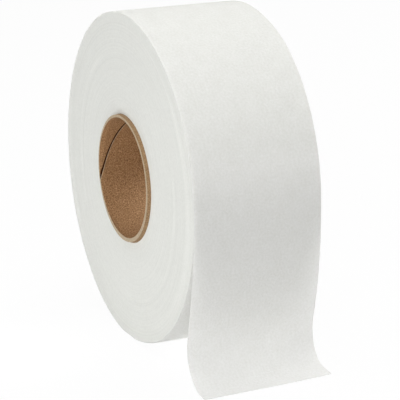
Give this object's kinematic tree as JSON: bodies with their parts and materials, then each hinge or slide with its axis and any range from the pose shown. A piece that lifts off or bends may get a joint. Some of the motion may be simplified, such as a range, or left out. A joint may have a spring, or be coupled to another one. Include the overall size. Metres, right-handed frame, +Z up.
{
  "type": "toilet paper roll",
  "caption": "Wide flat roll of white toilet tissue on an open cardboard core, standing on its tread with a loose tail that curls out on the floor.",
  "frame": {"origin": "centre of the core's bore, on the roll's axis, halfway between the two end faces", "axes": "+Y along the roll's axis, +X towards the side where the loose tail hangs, +Z up, with the roll standing on the flat spot of its tread"},
  "size_m": [0.2447, 0.0972, 0.2273],
  "materials": {
    "tissue": "matte",
    "kraft_board": "matte"
  },
  "bodies": {
    "root": {"wound_tissue": "tissue", "cardboard_core": "kraft_board"}
  },
  "joints": []
}
